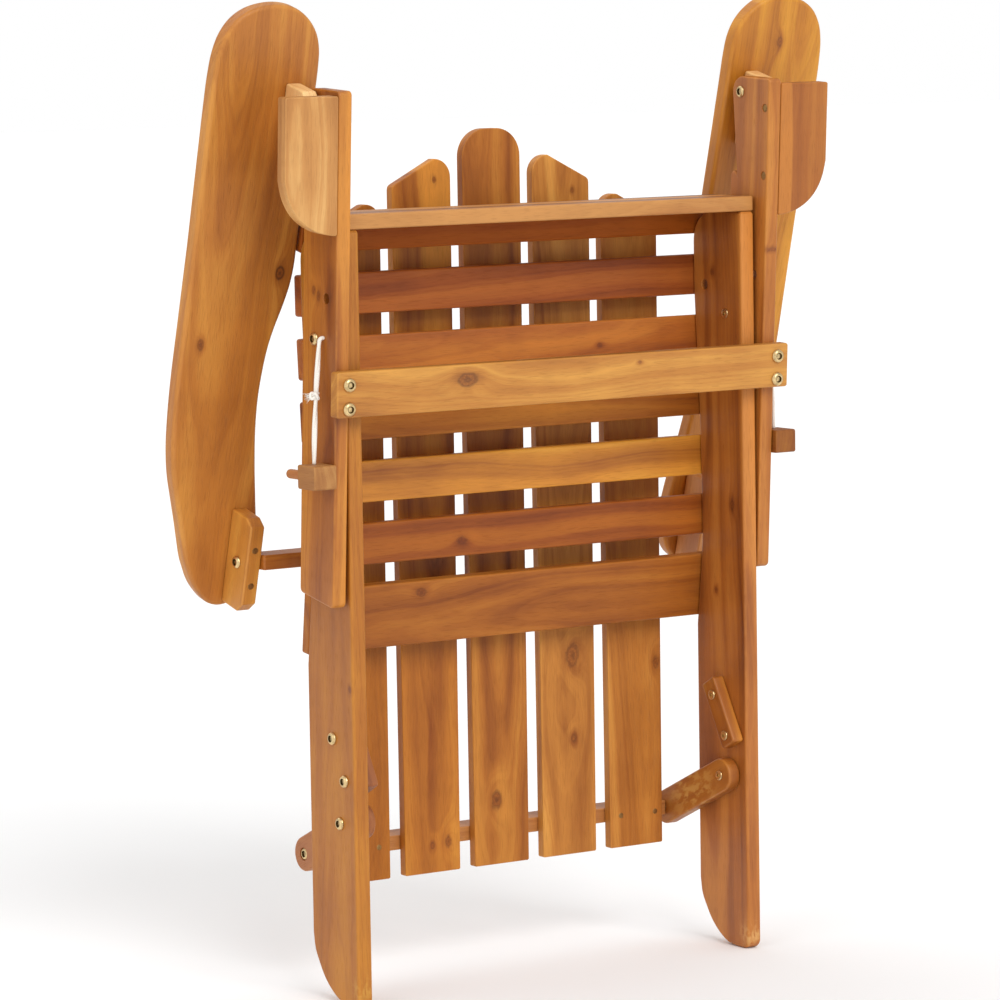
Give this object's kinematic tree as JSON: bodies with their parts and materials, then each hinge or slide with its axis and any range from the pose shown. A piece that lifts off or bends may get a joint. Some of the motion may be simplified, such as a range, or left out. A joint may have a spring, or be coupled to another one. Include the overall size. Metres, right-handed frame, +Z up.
{
  "type": "folding adirondack chair",
  "caption": "Folding wooden adirondack chair folded flat and standing on end: slatted seat and tapered slat back, hinged legs and wide arms, bolted pivots and locking pegs on strings.",
  "frame": {"origin": "centre of the base of the bounding box of the folded chair, on the floor", "axes": "+Z up along the side rails, from their rear ends to the seat front; +Y from the seat underside towards the seat side; +X across the chair"},
  "size_m": [0.776, 0.2392, 1.0443],
  "materials": {
    "rail_wood": "oiled acacia, satin, orange-brown with dark knots",
    "apron_wood": "oiled acacia, satin, light honey",
    "seat_wood": "oiled acacia, satin, reddish brown",
    "block_wood": "oiled acacia, satin, red-brown",
    "leg_wood": "oiled acacia, satin, honey brown",
    "stretcher_wood": "oiled acacia, satin, light honey",
    "support_wood": "oiled acacia, satin, mixed sapwood and heartwood",
    "arm_wood": "oiled acacia, satin, golden brown",
    "cleat_wood": "oiled acacia, satin",
    "back_wood": "oiled acacia, satin, golden brown with cathedral grain",
    "crossbar_wood": "oiled acacia, satin",
    "peg_wood": "oiled acacia, matte, sawn ends",
    "cotton": "twisted undyed cotton string",
    "zinc": "yellow zinc plated steel, dull"
  },
  "bodies": {
    "frame": {"rail_left": "rail_wood", "rail_right": "rail_wood", "front_apron": "apron_wood", "seat_slat_1": "seat_wood", "seat_slat_2": "seat_wood", "seat_slat_3": "seat_wood", "seat_slat_4": "seat_wood", "seat_slat_5": "seat_wood", "seat_slat_6": "seat_wood", "seat_slat_rear": "seat_wood", "stop_block_left": "block_wood", "stop_block_right": "block_wood", "bolt_stop_block_left_1": "zinc", "bolt_stop_block_left_2": "zinc", "bolt_stop_block_right_1": "zinc", "bolt_stop_block_right_2": "zinc", "bolt_leg_pivot_left": "zinc", "bolt_leg_pivot_right": "zinc", "bolt_link_pivot_left": "zinc", "bolt_link_pivot_right": "zinc"},
    "legs": {"leg_left": "leg_wood", "leg_right": "leg_wood", "leg_stretcher": "stretcher_wood", "arm_support_left": "support_wood", "arm_support_right": "support_wood", "bolt_stretcher_left_1": "zinc", "bolt_stretcher_left_2": "zinc", "bolt_stretcher_right_1": "zinc", "bolt_stretcher_right_2": "zinc", "screw_arm_support_left_1": "zinc", "screw_arm_support_left_2": "zinc", "screw_arm_support_right_1": "zinc", "screw_arm_support_right_2": "zinc", "bolt_arm_pivot_left": "zinc", "bolt_arm_pivot_right": "zinc"},
    "backrest": {"back_slat_1": "back_wood", "back_slat_2": "back_wood", "back_slat_3": "back_wood", "back_slat_4": "back_wood", "back_slat_5": "back_wood", "arm_rail_back": "crossbar_wood", "lower_rail_back": "crossbar_wood", "bolt_arm_rail_left": "zinc", "bolt_arm_rail_right": "zinc"},
    "arm_left": {"arm_left": "arm_wood", "front_cleat_left": "cleat_wood", "rear_cleat_left": "cleat_wood"},
    "link_left": {"link_left": "block_wood", "bolt_link_end_left": "zinc"},
    "peg_left": {"peg_handle_left": "peg_wood", "peg_dowel_left": "peg_wood", "peg_string_left": "cotton"},
    "arm_right": {"arm_right": "arm_wood", "front_cleat_right": "cleat_wood", "rear_cleat_right": "cleat_wood"},
    "link_right": {"link_right": "block_wood", "bolt_link_end_right": "zinc"},
    "peg_right": {"peg_handle_right": "peg_wood", "peg_dowel_right": "peg_wood", "peg_string_right": "cotton"}
  },
  "joints": [
    {"name": "leg_fold", "type": "hinge", "parent": "frame", "child": "legs", "pos_m": [0, -0.06122, 0.6982], "axis": [-1, 0, 0], "range_deg": [0, 81]},
    {"name": "arm_pivot_left", "type": "hinge", "parent": "legs", "child": "arm_left", "pos_m": [-0.29, -0.06542, 0.9384], "axis": [-1, 0, 0], "range_deg": [-81.6, 0]},
    {"name": "arm_pivot_right", "type": "hinge", "parent": "legs", "child": "arm_right", "pos_m": [0.29, -0.06542, 0.9384], "axis": [-1, 0, 0], "range_deg": [-81.6, 0]},
    {"name": "back_fold", "type": "hinge", "parent": "arm_left", "child": "backrest", "pos_m": [0, 0.06538, 0.4575], "axis": [-1, 0, 0], "range_deg": [0, 92.7]},
    {"name": "link_swing_left", "type": "hinge", "parent": "frame", "child": "link_left", "pos_m": [-0.236, -0.06162, 0.191], "axis": [-1, 0, 0], "range_deg": [-86.3, 0]},
    {"name": "link_swing_right", "type": "hinge", "parent": "frame", "child": "link_right", "pos_m": [0.236, -0.06162, 0.191], "axis": [-1, 0, 0], "range_deg": [-86.3, 0]},
    {"name": "peg_hang_left", "type": "hinge", "parent": "legs", "child": "peg_left", "pos_m": [-0.283, -0.07862, 0.6995], "axis": [-1, 0, 0], "range_deg": [-20, 15]},
    {"name": "peg_hang_right", "type": "hinge", "parent": "legs", "child": "peg_right", "pos_m": [0.283, -0.07862, 0.6995], "axis": [-1, 0, 0], "range_deg": [-20, 15]}
  ],
  "couplings": [
    {"joint": "arm_pivot_left", "follows": "leg_fold", "ratio": -1.0043},
    {"joint": "arm_pivot_right", "follows": "leg_fold", "ratio": -1.0043},
    {"joint": "back_fold", "follows": "leg_fold", "ratio": 1.1412},
    {"joint": "link_swing_left", "follows": "leg_fold", "ratio": -1.0619},
    {"joint": "link_swing_right", "follows": "leg_fold", "ratio": -1.0619}
  ]
}
